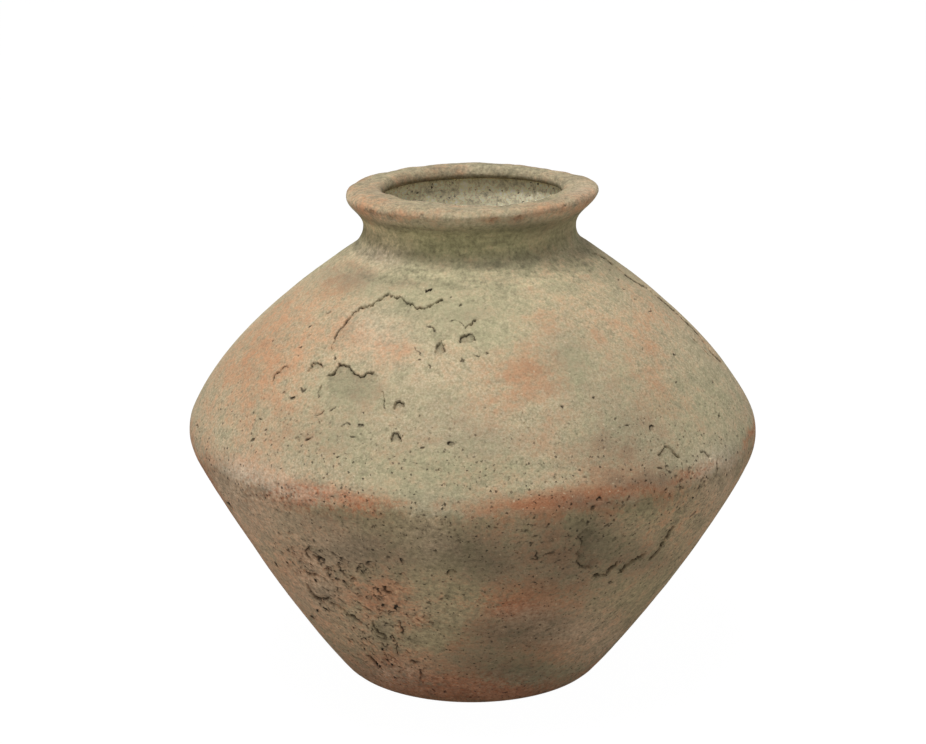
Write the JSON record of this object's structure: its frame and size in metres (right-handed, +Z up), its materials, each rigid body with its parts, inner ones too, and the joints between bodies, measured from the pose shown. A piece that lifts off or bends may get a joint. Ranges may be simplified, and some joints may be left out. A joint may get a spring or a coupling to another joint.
{
  "type": "ceramic urn",
  "caption": "Weathered hand-built clay urn with a sharp wide belly, short waisted neck and rolled lip, open at the top and standing on a flat foot.",
  "frame": {"origin": "centre of the flat foot, on the surface the urn stands on", "axes": "+Z up along the urn's axis of turning, -Y towards the viewer of the picture, +X to the viewer's right"},
  "size_m": [0.36, 0.36, 0.3162],
  "materials": {
    "foot_clay": "dry matt unglazed clay, rust brown, pitted",
    "lower_clay": "dry matt unglazed clay, brown with grey-green and rust patches, pitted and flaking",
    "inner_clay": "dry matt unglazed clay, as pressed by hand",
    "shoulder_clay": "dry matt unglazed clay, buff with green-grey bloom and rust patches, cracked skin and pits",
    "neck_clay": "dry matt unglazed clay, grey-olive bloom, finely pitted",
    "lip_clay": "dry matt unglazed clay, buff with rust spots, worn smooth"
  },
  "bodies": {
    "root": {"base_slab": "foot_clay", "lower_wall": "lower_clay", "belly_coil": "inner_clay", "shoulder_wall": "shoulder_clay", "neck_collar": "neck_clay", "rim_lip": "lip_clay"}
  },
  "joints": []
}
